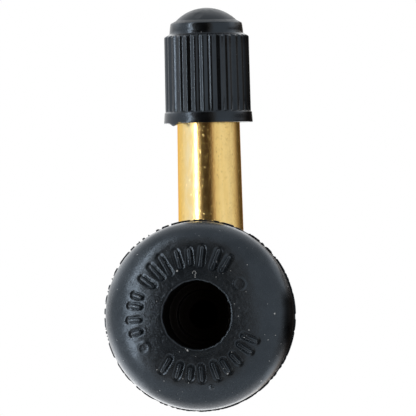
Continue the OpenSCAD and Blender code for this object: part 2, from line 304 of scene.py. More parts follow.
class Tree(Nodes):
    """A material's node tree, in object coordinates."""

    def __init__(self, name):
        self.material = bpy.data.materials.new(name)
        self.material.use_nodes = True
        super().__init__(self.material.node_tree)
        self.out = self.add("ShaderNodeOutputMaterial")
        self.coord = self.add("ShaderNodeTexCoord").outputs["Object"]

    def mapping(self, scale):
        """Object coordinates in cells per millimetre along each axis."""
        node = self.add("ShaderNodeMapping")
        self.put(node.inputs["Vector"], self.coord)
        scales = scale if hasattr(scale, "__len__") else (scale, scale, scale)
        node.inputs["Scale"].default_value = [s / MM for s in scales]
        return node.outputs["Vector"]

    def noise(self, scale, detail=3.0, rough=0.55):
        node = self.add("ShaderNodeTexNoise")
        self.put(node.inputs["Vector"], self.mapping(scale))
        self.put(node.inputs["Scale"], 1.0)
        self.put(node.inputs["Detail"], detail)
        self.put(node.inputs["Roughness"], rough)
        return node.outputs["Fac"]

    def cells(self, scale):
        """Distance to the nearest of points strewn at so many per millimetre."""
        node = self.add("ShaderNodeTexVoronoi")
        self.put(node.inputs["Vector"], self.mapping(scale))
        self.put(node.inputs["Scale"], 1.0)
        return node.outputs["Distance"]

    def span(self, value, low, high, a=0.0, b=1.0):
        """As ramp, with low and high in millimetres."""
        return self.ramp(value, low * MM, high * MM, a, b)

    def bump(self, height, strength, distance, normal=None):
        """Bumps of a height in millimetres."""
        node = self.add("ShaderNodeBump")
        self.put(node.inputs["Height"], height)
        self.put(node.inputs["Strength"], strength)
        self.put(node.inputs["Distance"], distance * MM)
        if normal is not None:
            self.put(node.inputs["Normal"], normal)
        return node.outputs["Normal"]

    def specks(self, scale, size, share):
        """1 on small dots; the larger the share, the fewer of them are kept."""
        dot = self.ramp(self.cells(scale), size, size * DOT_CORE)
        kept = self.ramp(self.noise(scale * PICK_SCALE, 0.0), share, share + PICK_EDGE)
        return self.times(dot, kept)

    def surface(self, colour, roughness, normal, metallic=0.0, ior=1.5, tint=(1.0, 1.0, 1.0)):
        shader = self.add("ShaderNodeBsdfPrincipled")
        self.put(shader.inputs["Base Color"], colour)
        self.put(shader.inputs["Roughness"], roughness)
        self.put(shader.inputs["Metallic"], metallic)
        self.put(shader.inputs["Normal"], normal)
        self.put(shader.inputs["IOR"], ior)
        self.put(shader.inputs["Specular Tint"], tint)
        self.put(self.out.inputs["Surface"], shader.outputs["BSDF"])
        return self.material


# Black rubber and plastic mirror white light with a cool cast
COOL_TINT = (0.68, 0.83, 1.0)
RUBBER_IOR = 1.58
INLET_SHADE_IOR = 1.3

# Wear and painted light of the foot: scratches, a painted pale rim reflection, and painted shade on the
# right side and at the inlet's edge; pairs run from none to full, in millimetres from its axis or along x, y
# or z
SCRATCHED_R = (8.6, 5.2)
SCRATCH_SCALE = 16.0
SCRATCH_DRIFT = 0.7
PAINTED_RIM_LIGHT_R = (9.8, 11.2)
PAINTED_RIM_LIGHT_X = (7.8, 6.0)
PAINTED_RIM_LIGHT_LOW_Z = (0.0, -8.0)
PAINTED_RIM_LIGHT_LEFT_X = (-6.0, -10.0)
PAINTED_RIM_LIGHT_LEFT_SHARE = 0.6
PAINTED_RIM_GREY = (0.062, 0.068, 0.075)
PAINTED_RIM_PALE = (0.215, 0.226, 0.240)
PAINTED_SHADE_X = (9.5, 10.4)
PAINTED_SHADE_Z = -1.7
PAINTED_SHADE_REACH = (5.2, 3.0)
PAINTED_SHADE_BLACK = (0.0020, 0.0022, 0.0026)
PAINTED_SHADE_IOR_DROP = 0.42
INLET_EDGE_SHADE_R = (INLET_R + 0.30, INLET_R + 0.14)
INLET_EDGE_SHADE_Y = (-4.77, -4.62)
INLET_EDGE_SHADE_BLACK = (0.0010, 0.0010, 0.0012)
INLET_EDGE_SHADE_ROUGHER = 0.5


def wear_and_painted_light_foot(t, colour, rough, normal, dust):
    """Marks of the foot alone: scratches, a painted pale rim reflection, and painted shade on the right side
    and at the inlet's edge.
    """
    x, y, z = t.split(t.coord)
    across = t.vector("MULTIPLY", t.coord)
    across.inputs[1].default_value = (1.0, 0.0, 1.0)
    across = across.outputs["Vector"]
    radius = t.vector("LENGTH", across).outputs["Value"]
    # fine scratches run away from the inlet
    scratch = t.add("ShaderNodeTexNoise", noise_dimensions="4D")
    t.put(scratch.inputs["Vector"], t.vector("NORMALIZE", across).outputs["Vector"])
    t.put(scratch.inputs["W"], t.times(radius, SCRATCH_DRIFT / MM))
    t.put(scratch.inputs["Scale"], SCRATCH_SCALE)
    t.put(scratch.inputs["Detail"], 3.0)
    lines = scratch.outputs["Fac"]
    worn = t.span(radius, *SCRATCHED_R)
    normal = t.bump(t.times(lines, worn), 0.5, 0.05, normal)
    colour = t.mix(t.times(t.ramp(lines, 0.62, 0.74, 0.0, 0.6), worn), colour, dust)
    # painted reflection: the rim is painted a little paler, most of all below and at the left
    rim = t.times(t.span(radius, *PAINTED_RIM_LIGHT_R), t.span(x, *PAINTED_RIM_LIGHT_X))
    left = t.span(x, *PAINTED_RIM_LIGHT_LEFT_X, 0.0, PAINTED_RIM_LIGHT_LEFT_SHARE)
    painted_rim_light = t.mix(t.most(t.span(z, *PAINTED_RIM_LIGHT_LOW_Z), left), PAINTED_RIM_GREY, PAINTED_RIM_PALE)
    colour = t.mix(rim, colour, painted_rim_light)
    # painted shade: the right side is painted dark, and its index of refraction is lowered there to dim what
    # it mirrors
    aside = t.math("ABSOLUTE", t.minus(z, PAINTED_SHADE_Z * MM))
    painted_right_shade = t.times(t.span(x, *PAINTED_SHADE_X), t.span(aside, *PAINTED_SHADE_REACH))
    colour = t.mix(painted_right_shade, colour, PAINTED_SHADE_BLACK)
    ior = t.minus(RUBBER_IOR, t.times(painted_right_shade, PAINTED_SHADE_IOR_DROP))
    # painted shade: the inlet's edge is painted black and made rougher
    inside = t.times(t.span(radius, *INLET_EDGE_SHADE_R), t.span(y, *INLET_EDGE_SHADE_Y))
    colour = t.mix(inside, colour, INLET_EDGE_SHADE_BLACK)
    rough = t.plus(rough, t.times(inside, INLET_EDGE_SHADE_ROUGHER))
    return colour, rough, normal, ior


def rubber_material(name, dark, light, dust, speck, foot=False):
    """Moulded rubber: mottled, faintly dusty, with pale specks and a fine skin."""
    t = Tree(name)
    colour = t.mix(t.ramp(t.noise(0.8, 4.0, 0.65), 0.35, 0.68), dark, light)
    bloom = t.ramp(t.noise(0.25, 4.0, 0.65), 0.5, 0.75, 0.0, 0.5)
    colour = t.mix(bloom, colour, dust)
    colour = t.mix(t.specks(0.75, 0.10, 0.55), colour, speck)
    colour = t.mix(t.specks(1.9, 0.13, 0.61), colour, speck)
    rough = t.ramp(t.noise(1.1, 4.0, 0.6), 0.3, 0.7, 0.20, 0.30)
    normal = t.bump(t.noise(8.0, 3.0, 0.65), 0.35, 0.012)
    normal = t.bump(t.noise(2.2, 3.0, 0.6), 0.35, 0.03, normal)
    ior = RUBBER_IOR
    if foot:
        colour, rough, normal, ior = wear_and_painted_light_foot(t, colour, rough, normal, dust)
    return t.surface(colour, rough, normal, ior=ior, tint=COOL_TINT)


def inlet_shade_material(name):
    """Rubber painted almost black inside the air inlet: painted shade where it is unlit."""
    t = Tree(name)
    colour = t.mix(t.noise(1.5, 3.0), (0.0005, 0.0005, 0.0006), (0.0012, 0.0012, 0.0014))
    rough = t.ramp(t.noise(2.0, 2.0), 0.3, 0.7, 0.42, 0.55)
    return t.surface(colour, rough, t.bump(t.noise(4.0, 3.0), 0.3, 0.02), ior=INLET_SHADE_IOR)


# Painted highlight on the brass, from none to full along x, and how far in front of the stem's axis it is
# full
PAINTED_HIGHLIGHT_LEFT_X = (-3.1, -2.2)
PAINTED_HIGHLIGHT_RIGHT_X = (-1.4, -1.9)
PAINTED_HIGHLIGHT_DEPTH = 1.5


def metal_material(name, bright, warm, stain, roughness, streaks, edge=(1.0, 1.0, 1.0), painted_highlight=None):
    """Drawn metal: fine streaks along the bar, warm stains, small pits, a grainy skin, a tinted edge and,
    where given, a painted highlight.
    """
    t = Tree(name)
    along = t.ramp(t.noise((1.3, 1.3, 0.10), 3.0, 0.6), 0.35, 0.7)
    colour = t.mix(along, bright, warm)
    colour = t.mix(t.ramp(t.noise(1.7, 3.0, 0.6), 0.60, 0.78, 0.0, 0.35), colour, stain)
    colour = t.mix(t.specks(1.3, 0.12, 0.60), colour, stain)
    if painted_highlight is not None:
        # a patchy pale painted highlight runs up the front at the left
        x, y, _ = t.split(t.coord)
        sides = t.times(t.span(x, *PAINTED_HIGHLIGHT_LEFT_X), t.span(x, *PAINTED_HIGHLIGHT_RIGHT_X))
        front = t.span(y, STEM_Y, STEM_Y - PAINTED_HIGHLIGHT_DEPTH)
        patches = t.ramp(t.noise((1.6, 1.6, 0.7), 4.0, 0.65), 0.38, 0.62, 0.3, 0.8)
        colour = t.mix(t.times(sides, t.times(front, patches)), colour, painted_highlight)
    rough = t.ramp(t.noise((1.6, 1.6, 0.9), 3.0), 0.3, 0.7, *roughness)
    lines = t.bump(t.noise((streaks, streaks, 0.35), 2.0, 0.5), 0.12, 0.006)
    grain = t.bump(t.noise(5.0, 3.0, 0.6), 0.35, 0.018, lines)
    dents = t.bump(t.noise(1.7, 3.0, 0.6), 0.35, 0.03, grain)
    pits = t.bump(t.specks(2.4, 0.30, 0.54), 0.5, -0.03, dents)
    return t.surface(colour, rough, pits, metallic=1.0, tint=edge)


# Painted shade on the right side of the cap, from none to full along x, and what its index of refraction
# loses there
CAP_SHADE_SIDE_X = (2.6, 4.2)
CAP_SHADE_SIDE_DROP = 0.12
CAP_SHADE_RIM_X = (4.2, 5.0)
CAP_SHADE_RIM_DROP = 0.36
CAP_DUST = (0.16, 0.17, 0.18)


def plastic_material(name, dark, light, scuff, roughness, ior):
    """Moulded plastic: satin skin, a few pale scuffs, a little dust and painted shade towards the right."""
    t = Tree(name)
    colour = t.mix(t.ramp(t.noise(0.7, 4.0, 0.6), 0.35, 0.7), dark, light)
    worn = t.ramp(t.noise((2.2, 2.2, 1.0), 4.0, 0.65), 0.70, 0.80, 0.0, 0.5)
    colour = t.mix(worn, colour, scuff)
    colour = t.mix(t.specks(0.9, 0.12, 0.64), colour, CAP_DUST)
    rough = t.ramp(t.noise(1.4, 3.0), 0.3, 0.7, *roughness)
    fine = t.bump(t.noise(9.0, 3.0, 0.6), 0.2, 0.008)
    broad = t.bump(t.noise(1.3, 3.0), 0.40, 0.03, fine)
    # painted shade: the ribs and the flange mirror less towards the right
    x, _, z = t.split(t.coord)
    below = t.span(z, CAP_Z + CAP_NECK_Z, CAP_Z + RIB_TOP_Z)
    side = t.span(x, *CAP_SHADE_SIDE_X, 0.0, CAP_SHADE_SIDE_DROP)
    rim = t.span(x, *CAP_SHADE_RIM_X, 0.0, CAP_SHADE_RIM_DROP)
    ior = t.minus(ior, t.times(below, t.plus(side, rim)))
    return t.surface(colour, rough, broad, ior=ior, tint=COOL_TINT)


RUBBER = rubber_material(
    "moulded_rubber",
    dark=(0.0075, 0.0100, 0.0130),
    light=(0.0125, 0.0160, 0.0200),
    dust=(0.0230, 0.0280, 0.0330),
    speck=(0.45, 0.47, 0.48),
    foot=True,
)
# painted shade for the inside of the air inlet
INLET_SHADE = inlet_shade_material("inlet_painted_shade")
# painted shade: the moulding edge's rubber is darker than the foot's
FLASH_SHADE_RUBBER = rubber_material(
    "torn_rubber_painted_shade",
    dark=(0.0020, 0.0024, 0.0030),
    light=(0.0040, 0.0048, 0.0058),
    dust=(0.0060, 0.0070, 0.0080),
    speck=(0.05, 0.05, 0.05),
)
SEAL_RUBBER = rubber_material(
    "seal_rubber",
    dark=(0.016, 0.017, 0.019),
    light=(0.026, 0.027, 0.029),
    dust=(0.040, 0.040, 0.042),
    speck=(0.060, 0.060, 0.062),
)
GASKET = rubber_material(
    "gasket_red",
    dark=(0.36, 0.045, 0.03),
    light=(0.46, 0.065, 0.04),
    dust=(0.50, 0.12, 0.09),
    speck=(0.52, 0.16, 0.12),
)
BRASS = metal_material(
    "drawn_brass",
    bright=(0.93, 0.69, 0.285),
    warm=(0.89, 0.625, 0.225),
    stain=(0.52, 0.32, 0.09),
    roughness=(0.20, 0.27),
    streaks=7.0,
    edge=(0.86, 0.58, 0.26),
    painted_highlight=(0.91, 0.755, 0.44),
)
# painted shade: the air passage's brass is painted dark
BORE_SHADE = metal_material(
    "bore_painted_shade", (0.055, 0.040, 0.024), (0.040, 0.028, 0.016), (0.02, 0.014, 0.008), (0.55, 0.70), 7.0
)
CORE_BRASS = metal_material(
    "core_brass", (0.80, 0.60, 0.27), (0.70, 0.48, 0.18), (0.34, 0.22, 0.08), (0.20, 0.30), 9.0
)
STEEL = metal_material(
    "spring_steel", (0.66, 0.67, 0.69), (0.56, 0.57, 0.60), (0.30, 0.30, 0.31), (0.20, 0.30), 9.0
)
CAP_COLOURS = {
    "dark": (0.0010, 0.0014, 0.0020),
    "light": (0.0022, 0.0028, 0.0038),
    "scuff": (0.05, 0.055, 0.062),
}
PLASTIC = plastic_material("cap_plastic", **CAP_COLOURS, roughness=(0.20, 0.26), ior=1.61)
WORN_PLASTIC = plastic_material("cap_plastic_worn", **CAP_COLOURS, roughness=(0.38, 0.46), ior=1.52)
LINT = rubber_material(
    "lint", dark=(0.30, 0.31, 0.32), light=(0.42, 0.43, 0.43), dust=(0.48, 0.48, 0.48), speck=(0.5, 0.5, 0.5)
)


def dress(piece, *materials):
    piece.data.materials.clear()
    for material in materials:
        piece.data.materials.append(material)


def add_piece(piece, body, slot, *replaced):
    """Gives a dressed piece its body and hides the solids that it stands for; the slot is not used."""
    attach(piece, body)
    if replaced:
        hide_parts(*replaced)


# Rubber foot
FOOT_SEGMENTS = 448
DOME_ROWS = 120
FLASH_SEGMENTS = 1400

# Plain raised bars on arcs of the foot: first angle, count, step, middle radius, half length
BAR_ARCS = [
    (59, 8, 12.2, 6.9, 1.35),
    (159, 4, 11.5, 7.25, 0.85),
    (237, 9, 12.5, 6.65, 1.05),
]
# The bars sway by up to a degree and are up to a quarter shorter, by sines of these steps in radians
BAR_SWAY_STEP = 2.3
BAR_SHORT_STEP = 1.7
BAR_SHORTER = 0.12
BAR_HALF_WIDTH = 0.27
BAR_HEIGHT = 0.36
BAR_BED = 0.02
# Hollow around a bar: its depth, and the distances at which it starts and is deepest
MOAT_DEPTH = 0.10
MOAT_REACH = (0.30, 0.05)
# Section of a bar: distance in from its edge, and share of its height
BAR_SECTION = [
    (-0.02, -0.45),
    (0.0, 0.05),
    (0.035, 0.4),
    (0.075, 0.7),
    (0.12, 0.88),
    (0.17, 0.97),
    (0.22, 1.0),
]
# Shallow discs and a small pip: x, z, radius, height
PIPS = [
    (5.0, 3.54, 0.80, 0.07),
    (-6.18, -3.56, 0.72, 0.10),
    (1.5, -8.2, 0.24, 0.24),
]
# Section of a disc: height of its middle and its rim as shares, and place and width of the rim and side
PIP_MIDDLE = 0.6
PIP_RIM = 0.4
PIP_RIM_IN = 0.1
PIP_RIM_WIDTH = (0.22, 0.08)
PIP_SIDE = 0.08


def dome_y(r):
    """Front surface of the foot at a distance from its axis."""
    share = np.maximum(0.0, 1 - (np.asarray(r, float) / FOOT_R) ** DOME_POWER)
    return -LIP_T - (FOOT_H - LIP_T) * share ** (1 / DOME_POWER)


INLET_MOUTH_R = INLET_R + RIM_EDGE
# Foremost height of the foot, that of the solid
FRONT_Y = -4.781
# Roundings of the inlet's steps and of the corners behind the dome, and the longest stretches there
INLET_FILLET = 0.15
INLET_STRETCH = 0.5
BACK_FILLETS = (0.4, 0.4, 0.5, 0.5, 0.5)
BACK_STRETCH = 0.8
# How far the rubber reaches into the brass that it holds
BOND = 0.02
# Waves of the dome: height, waves per millimetre and seed, and how far they are sunk
DOME_WAVES = [(0.03, 0.45, 3), (0.010, 1.5, 4)]
WAVE_SINK = 0.02
# Widths over which hollows, discs and waves fade out at the foot's edge and at the inlet
EDGE_FADE = 1.2
INLET_FADE = 0.6
# Scuffs around the inlet, from none to full by distance from the axis, and what the left side lacks
SCUFF_R = (6.2, 4.6)
SCUFF_WAVE = (0.030, 3.2, 5)
SCUFF_LEFT_LACK = 0.7
# Raggedness of the inlet's rim: broad and fine, and what the lower right adds
RAG_R = 3.0
RAG = 0.06
RAG_LOWER_RIGHT = 0.08
# Shift of the inlet's mouth along x and z, from none to full by distance from the axis and by y
MOUTH_SHIFT = (0.07, 0.16)
SHIFT_R = (8.0, 4.6)
SHIFT_Y = (2.5, -1.5)


def bar_places():
    """Direction in radians, middle radius and half length of each raised bar."""
    places = []
    for first, count, step, middle, half in BAR_ARCS:
        for k in range(count):
            turn = math.radians(first + k * step + math.sin(BAR_SWAY_STEP * k + first))
            shorter = BAR_SHORTER * (1 + math.sin(BAR_SHORT_STEP * k + first))
            places.append((turn, middle, half * (1 - shorter)))
    return places


def foot_relief(x, z):
    """Height of the moulded discs and depth of the hollows around the bars, in millimetres."""
    out = np.zeros_like(x)
    for turn, middle, length in bar_places():
        along = x * math.cos(turn) + z * math.sin(turn) - middle
        across = z * math.cos(turn) - x * math.sin(turn)
        past = np.maximum(np.abs(along) - (length - BAR_HALF_WIDTH), 0.0)
        away = np.hypot(past, across) - BAR_HALF_WIDTH
        out = np.minimum(out, -MOAT_DEPTH * smoothstep(*MOAT_REACH, away))
    for px, pz, size, height in PIPS:
        away = np.hypot(x - px, z - pz)
        edge = PIP_MIDDLE + PIP_RIM * smoothstep(*PIP_RIM_WIDTH, np.abs(away - size + PIP_RIM_IN))
        out = out + height * edge * smoothstep(PIP_SIDE, -PIP_SIDE, away - size)
    return out


def foot_profile():
    """The foot's section as (radius, y), and where the inlet's edge and the dome start and end."""
    edge = [
        (INLET_MOUTH_R - RIM_EDGE * math.cos(t), FRONT_Y + RIM_EDGE * (1 - math.sin(t)))
        for t in np.linspace(0, math.pi / 2, 9)
    ]
    start = math.asin((INLET_MOUTH_R / FOOT_R) ** (DOME_POWER / 2))
    dome = []
    for t in np.linspace(start, math.pi / 2, DOME_ROWS + 1)[1:]:
        r = FOOT_R * math.sin(t) ** (2 / DOME_POWER)
        dome.append((r, -LIP_T - (FOOT_H - LIP_T) * max(0.0, math.cos(t)) ** (2 / DOME_POWER)))
    floor = (PASSAGE_R, FLOOR_Y)
    throat = (THROAT_R, FLOOR_Y)
    step_in = (THROAT_R, THROAT_Y)
    step_out = (INLET_R, THROAT_Y)
    bore = [floor]
    for a, b, c in ((floor, throat, step_in), (throat, step_in, step_out), (step_in, step_out, edge[0])):
        bore += rounded(a, b, c, INLET_FILLET, 3)
    bore = densify(bore + [edge[0]], INLET_STRETCH)[:-1]
    inner = STEM_R - BOND
    corners = [
        (FOOT_R, 0),
        (NECK_R, 0),
        (NECK_R, GROOVE_W),
        (SHOULDER_R, GROOVE_W),
        (SHOULDER_R, LAND_Y),
        (NOSE_R, BEND_Y),
        (inner, BEND_Y),
    ]
    back = [(FOOT_R, -LIP_T / 2), corners[0]]
    for k, size in enumerate(BACK_FILLETS, 1):
        back += rounded(corners[k - 1], corners[k], corners[k + 1], size)
    back = densify(back, BACK_STRETCH)
    # the hollow that holds the brass, a hair inside its surface
    hollow = [
        (inner, BEND_Y - BOND),
        (inner, ANCHOR_Y + ANCHOR_T),
        (ANCHOR_R - BOND, ANCHOR_Y + ANCHOR_T - BOND),
        (ANCHOR_R - BOND, ANCHOR_Y + BOND),
        (PASSAGE_R, ANCHOR_Y + BOND),
    ]
    return bore + edge + dome + back + hollow, len(bore), len(edge), len(dome)


def build_foot():
    profile, n_bore, n_edge, n_dome = foot_profile()
    pr, py = np.array(profile).T
    theta = np.linspace(0, TURN, FOOT_SEGMENTS, endpoint=False)
    cos, sin = np.cos(theta), np.sin(theta)
    R = np.repeat(pr[:, None], FOOT_SEGMENTS, axis=1)
    Y = np.repeat(py[:, None], FOOT_SEGMENTS, axis=1)
    front = slice(n_bore, n_bore + n_edge + n_dome)
    # marks and a slight unevenness, along the normal of the section
    tr, ty = np.gradient(pr[front]), np.gradient(py[front])
    length = np.hypot(tr, ty)
    nr, ny = (ty / length)[:, None], (-tr / length)[:, None]
    X, Z = R[front] * cos, R[front] * sin
    points = np.stack([X.ravel(), np.zeros(X.size), Z.ravel()], axis=1)
    wave = sum(tall * noise_at(points, scale, seed) for tall, scale, seed in DOME_WAVES) - WAVE_SINK
    wave = wave.reshape(X.shape)
    # the rubber is scuffed around the inlet, but least at its left
    scuffed = smoothstep(*SCUFF_R, R[front]) * (1 - SCUFF_LEFT_LACK * hump(theta, 180, 45))
    tall, scale, seed = SCUFF_WAVE
    wave += tall * scuffed * noise_at(points, scale, seed).reshape(X.shape)
    fade = smoothstep(FOOT_R, FOOT_R - EDGE_FADE, R[front])
    fade = fade * smoothstep(INLET_R, INLET_R + INLET_FADE, R[front])
    height = (foot_relief(X, Z) + wave) * fade
    R[front] += nr * height
    Y[front] = np.maximum(Y[front] + ny * height, FRONT_Y)
    # the inlet's rim is a little ragged
    ring = circle_points(theta, RAG_R)
    fine = RAG + RAG_LOWER_RIGHT * hump(theta, -45, 55)
    rag = RAG * noise_at(ring, 1.6, 8) + fine * noise_at(ring, 4.5, 9)
    for k in range(n_edge):
        R[n_bore + k] += rag * math.sqrt(1 - k / n_edge)
    # and its mouth is a hair off the foot's axis
    off = smoothstep(*SHIFT_R, R) * smoothstep(*SHIFT_Y, Y)
    X = R * cos + MOUTH_SHIFT[0] * off
    Z = R * sin + MOUTH_SHIFT[1] * off
    piece = ring_mesh("foot_rubber", np.stack([X, Y, Z], axis=2), sharp=50)
    dress(piece, RUBBER, INLET_SHADE)
    for face in piece.data.polygons[: n_bore * FOOT_SEGMENTS]:
        face.material_index = 1
    return piece


def bar_outline(half_length, half_width, inset):
    """Points around a bar with round ends, as (along, across)."""
    reach = half_length - half_width
    r = half_width - inset
    points = []
    for side in (1, -1):
        for t in np.radians(np.linspace(-90, 90, 9)):
            points.append((side * (reach + r * math.cos(t)), side * r * math.sin(t)))
        points += [(side * reach * s, side * r) for s in np.linspace(0.75, -0.75, 7)]
    return np.array(points)


def build_marks():
    """Plain raised bars in place of moulded lettering, each with steep sides and a rounded top."""
    points = []
    faces = []
    for turn, middle, length in bar_places():
        rings = []
        for inset, share in BAR_SECTION:
            u, v = bar_outline(length, BAR_HALF_WIDTH, inset).T
            x = (middle + u) * math.cos(turn) - v * math.sin(turn)
            z = (middle + u) * math.sin(turn) + v * math.cos(turn)
            y = np.maximum(dome_y(np.hypot(x, z)) + BAR_BED - BAR_HEIGHT * share, FRONT_Y)
            rings.append(np.stack([x, y, z], axis=1))
        faces += capped_faces(len(rings), len(rings[0]), len(points))
        for ring in rings:
            points += ring.tolist()
    piece = add_mesh("raised_marks", points, faces, sharp=70)
    dress(piece, RUBBER)
    return piece


# Moulding edge: radii of its root and of its least reach, what it gains where it is full, and its sway
FLASH_ROOT_R = FOOT_R - 0.12
FLASH_LEAST_R = FOOT_R - 0.08
FLASH_GAIN = LIP_R - FOOT_R + 0.075
FLASH_SWAY = 0.04
# Where the moulding edge is torn: middle of the stretch, and degrees from it from none to full
TORN_ANGLE = 150
TORN_REACH = (62, 44)
# Section of the moulding edge, flat in front and thin outside: share of the reach, and y
FLASH_SECTION = [
    (0.0, -0.37),
    (0.5, -0.37),
    (0.82, -0.365),
    (0.93, -0.345),
    (1.0, -0.28),
    (0.97, -0.18),
    (0.6, -0.06),
    (0.0, -0.06),
]


def build_flash():
    """The thin torn edge where the two halves of the foot's mould met."""
    theta = np.linspace(0, TURN, FLASH_SEGMENTS, endpoint=False)
    ring = circle_points(theta, LIP_R)
    # fullest at the right and below, and torn into dashes at the upper left
    dips = smoothstep(0.1, 0.5, noise_at(ring, 1.1, 21)) + smoothstep(0.12, 0.5, noise_at(ring, 2.6, 22))
    full = 1.0 - dips * (0.5 - 0.2 * hump(theta, -5, 70) - 0.25 * hump(theta, -85, 45))
    torn = smoothstep(*TORN_REACH, np.abs(from_angle(theta, TORN_ANGLE)))
    dash = smoothstep(-0.06, 0.04, noise_at(ring, 1.5, 23) + 0.5 * noise_at(ring, 3.4, 24) + 0.08)
    width = np.clip(full + 0.3 * torn, 0.0, 1.0) * (1 - torn * (1 - dash))
    reach = FLASH_LEAST_R + FLASH_GAIN * width
    sway = FLASH_SWAY * noise_at(ring, 0.6, 25)
    rings = []
    for share, y in FLASH_SECTION:
        r = FLASH_ROOT_R + (reach - FLASH_ROOT_R) * share
        rings.append(np.stack([r * np.cos(theta), y + sway * share, r * np.sin(theta)], axis=1))
    return ring_mesh("moulding_flash", rings, sharp=60)


def tube(name, path, radius, across, sides=8):
    """A closed round tube along points in millimetres, none of whose stretches runs along across."""
    path = np.asarray(path, float)
    rings = []
    turn = np.linspace(0, TURN, sides, endpoint=False)
    for k, point in enumerate(path):
        along = path[min(k + 1, len(path) - 1)] - path[max(k - 1, 0)]
        along = along / np.linalg.norm(along)
        side = np.cross(along, across)
        side = side / np.linalg.norm(side)
        up = np.cross(side, along)
        rings.append(point + radius * (np.cos(turn)[:, None] * side + np.sin(turn)[:, None] * up))
    return capped_mesh(name, rings, sharp=60)


# Fibre: radius, lowest z, rise of its stalk and the share of its length that the stalk takes
LINT_R = 0.026
LINT_Z = 4.45
LINT_RISE = 0.62
LINT_STALK = 0.6
LINT_GAP = 0.03


def build_lint():
    """A short curled fibre that clings above the inlet."""
    steps = np.linspace(0, 1, 28)
    curl = 0.05 + 0.20 * smoothstep(0.35, LINT_STALK, steps)
    turn = -2.4 + 6.2 * steps
    x = 0.02 + curl * np.cos(turn) * steps - 0.1 * steps
    stalk = LINT_RISE * np.minimum(steps, LINT_STALK) / LINT_STALK
    z = LINT_Z + stalk + curl * np.sin(turn) * steps
    y = np.maximum(dome_y(np.hypot(x, z)), FRONT_Y + LINT_GAP)
    return tube("lint_fibre", np.stack([x, y, z], axis=1), LINT_R, (0.0, 1.0, 0.0))


add_piece(build_foot(), "valve", "rubber_base", "rubber_base")
add_piece(build_marks(), "valve", "rubber_base")
flash = build_flash()
dress(flash, FLASH_SHADE_RUBBER)
add_piece(flash, "valve", "rubber_base")
lint = build_lint()
dress(lint, LINT)
add_piece(lint, "valve", "rubber_base")


# Brass stem
STEM_SEGMENTS = 160
# Rounding of the flange in the rubber, and of the end of the air passage
ANCHOR_EDGE = 0.1
PASSAGE_EDGE = 0.15
# Thread: length of the run before it, and over which it grows and fades
RUN_IN = 0.35
THREAD_GROWTH = 0.6
THREAD_FADE = 0.45


def thread_wave(theta, z):
    """0 on the crest of the right-hand thread and 1 in its root."""
    share = np.mod((z - PITCH * theta / TURN) / PITCH, 1.0)
    return smoothstep(0.12, 0.88, 1.0 - np.abs(2.0 * share - 1.0))


